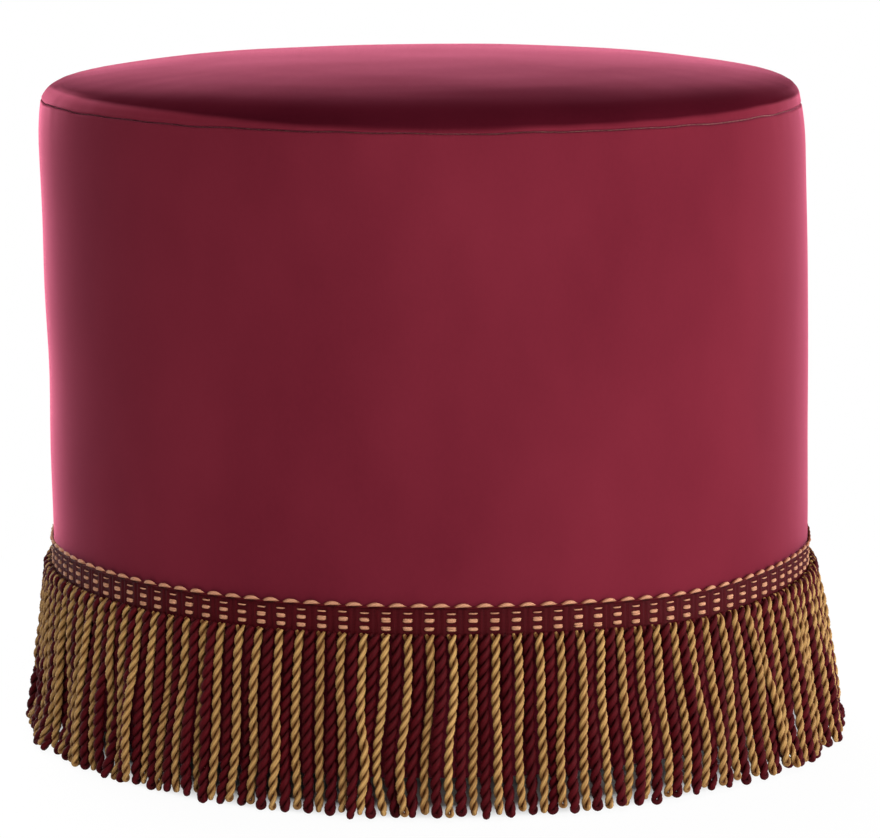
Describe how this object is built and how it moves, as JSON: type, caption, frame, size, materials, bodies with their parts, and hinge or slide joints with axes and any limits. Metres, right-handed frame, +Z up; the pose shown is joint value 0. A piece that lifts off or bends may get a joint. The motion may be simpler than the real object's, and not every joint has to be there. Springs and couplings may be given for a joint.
{
  "type": "tuffet",
  "caption": "Round drum-shaped upholstered stool with a crowned velvet seat and a two-colour bullion fringe hanging round its foot.",
  "frame": {"origin": "middle of the drum on the floor that the feet stand on", "axes": "+Z up along the drum's axis; the picture is taken from -Y, with +X to its right"},
  "size_m": [0.499, 0.499, 0.4037],
  "materials": {
    "velvet": "matte",
    "fringe_gold": "satin",
    "fringe_burgundy": "satin",
    "wadding": "matte",
    "foam": "matte",
    "dust_cloth": "matte",
    "plywood": "satin",
    "pine": "satin",
    "hardboard": "satin",
    "foot_plastic": "satin",
    "screw_steel": "satin"
  },
  "bodies": {
    "root": {"seat_cover": "velvet", "side_cover": "velvet", "gold_cords": "fringe_gold", "lip_cord": "fringe_gold", "burgundy_cords": "fringe_burgundy", "heading_tape": "fringe_burgundy", "seat_wadding": "wadding", "side_wadding": "wadding", "seat_foam": "foam", "side_foam": "foam", "dust_cover": "dust_cloth", "seat_board": "plywood", "base_ring": "plywood", "side_wall": "hardboard", "post_1": "pine", "post_2": "pine", "post_3": "pine", "post_4": "pine", "post_5": "pine", "post_6": "pine", "foot_1": "foot_plastic", "foot_2": "foot_plastic", "foot_3": "foot_plastic", "foot_4": "foot_plastic", "foot_screw_1": "screw_steel", "foot_screw_2": "screw_steel", "foot_screw_3": "screw_steel", "foot_screw_4": "screw_steel", "base_screw_1": "screw_steel", "base_screw_2": "screw_steel", "base_screw_3": "screw_steel", "base_screw_4": "screw_steel", "base_screw_5": "screw_steel", "base_screw_6": "screw_steel", "seat_screw_1": "screw_steel", "seat_screw_2": "screw_steel", "seat_screw_3": "screw_steel", "seat_screw_4": "screw_steel", "seat_screw_5": "screw_steel", "seat_screw_6": "screw_steel"}
  },
  "joints": []
}
